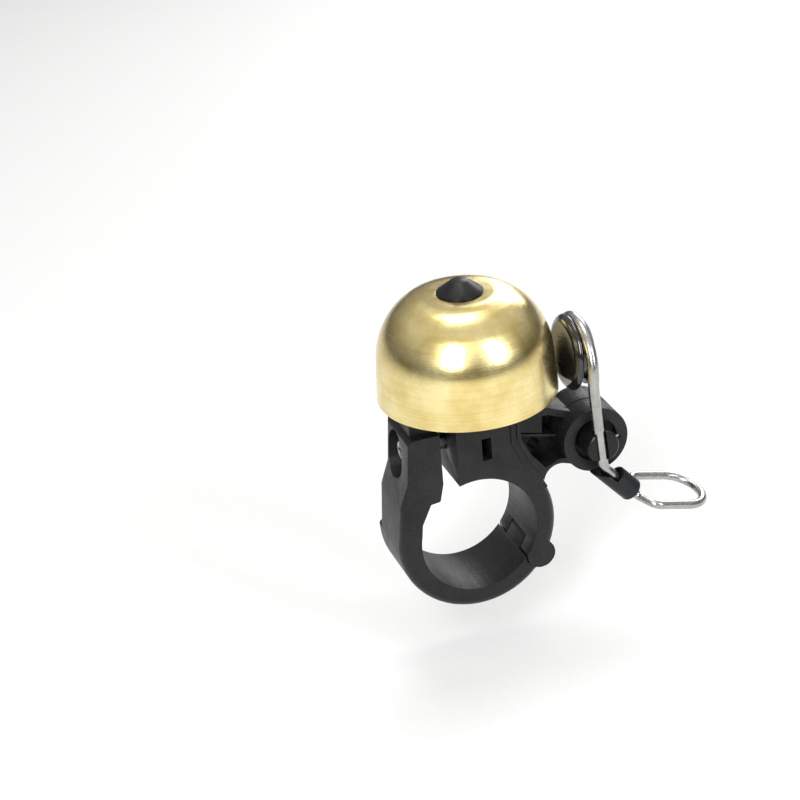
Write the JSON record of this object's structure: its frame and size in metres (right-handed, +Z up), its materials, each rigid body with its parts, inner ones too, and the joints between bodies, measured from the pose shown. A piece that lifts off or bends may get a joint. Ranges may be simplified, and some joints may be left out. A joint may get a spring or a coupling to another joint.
{
  "type": "bicycle bell",
  "caption": "Bicycle bell: brass dome over a black handlebar bracket, with a wire-sprung striker, round hammer and finger loop",
  "frame": {"origin": "centre of the handlebar clamp's bore, half way along its width", "axes": "+Y along the handlebar, +Z up along the dome's axis, +X towards the striker"},
  "size_m": [0.0572, 0.034, 0.062],
  "materials": {
    "brass": "brushed",
    "black_nylon": "matte",
    "black_satin": "satin",
    "black_gloss": "gloss",
    "sleeve_black": "satin",
    "isolator_rubber": "matte",
    "bright_steel": "polished",
    "zinc_steel": "satin"
  },
  "bodies": {
    "bracket": {"clamp_base": "black_nylon", "clamp_nut": "zinc_steel", "hinge_pin": "zinc_steel", "bell_dome": "brass", "dome_isolator": "isolator_rubber", "dome_screw": "zinc_steel", "dome_cap": "black_satin", "barrel_rear_cap": "black_nylon", "thrust_washer": "zinc_steel", "return_spring": "bright_steel"},
    "striker": {"striker_shaft": "black_satin", "striker_wire": "bright_steel", "hammer_face": "black_gloss", "hammer_back": "black_gloss", "hammer_screw": "bright_steel", "wire_sleeve": "sleeve_black", "crimp_core": "sleeve_black", "finger_loop": "bright_steel", "shaft_clip": "zinc_steel"},
    "strap": {"clamp_strap": "black_nylon"},
    "washer_carriage": {"clamp_washer": "zinc_steel"},
    "screw": {"clamp_screw": "zinc_steel"}
  },
  "joints": [
    {"name": "striker_swing", "type": "hinge", "parent": "bracket", "child": "striker", "pos_m": [0.0221, -0.0055, 0.0152], "axis": [0, 1, 0], "range_deg": [-2.1, 32], "stiffness_Nm_per_rad": 0.02},
    {"name": "strap_hinge", "type": "hinge", "parent": "bracket", "child": "strap", "pos_m": [0.01153, 0, -0.0072], "axis": [0, -1, 0], "range_deg": [0, 2.5]},
    {"name": "screw_travel", "type": "slide", "parent": "bracket", "child": "washer_carriage", "axis": [-1, 0, 0], "range_m": [0, 0.00135]},
    {"name": "screw_turn", "type": "hinge", "parent": "washer_carriage", "child": "screw", "pos_m": [-0.0092, 0, 0.0168], "axis": [-1, 0, 0], "range_deg": [0, 972]}
  ],
  "couplings": [
    {"joint": "screw_travel", "follows": "strap_hinge", "m_per_rad": 0.030939},
    {"joint": "screw_turn", "follows": "strap_hinge", "ratio": 388.79}
  ]
}
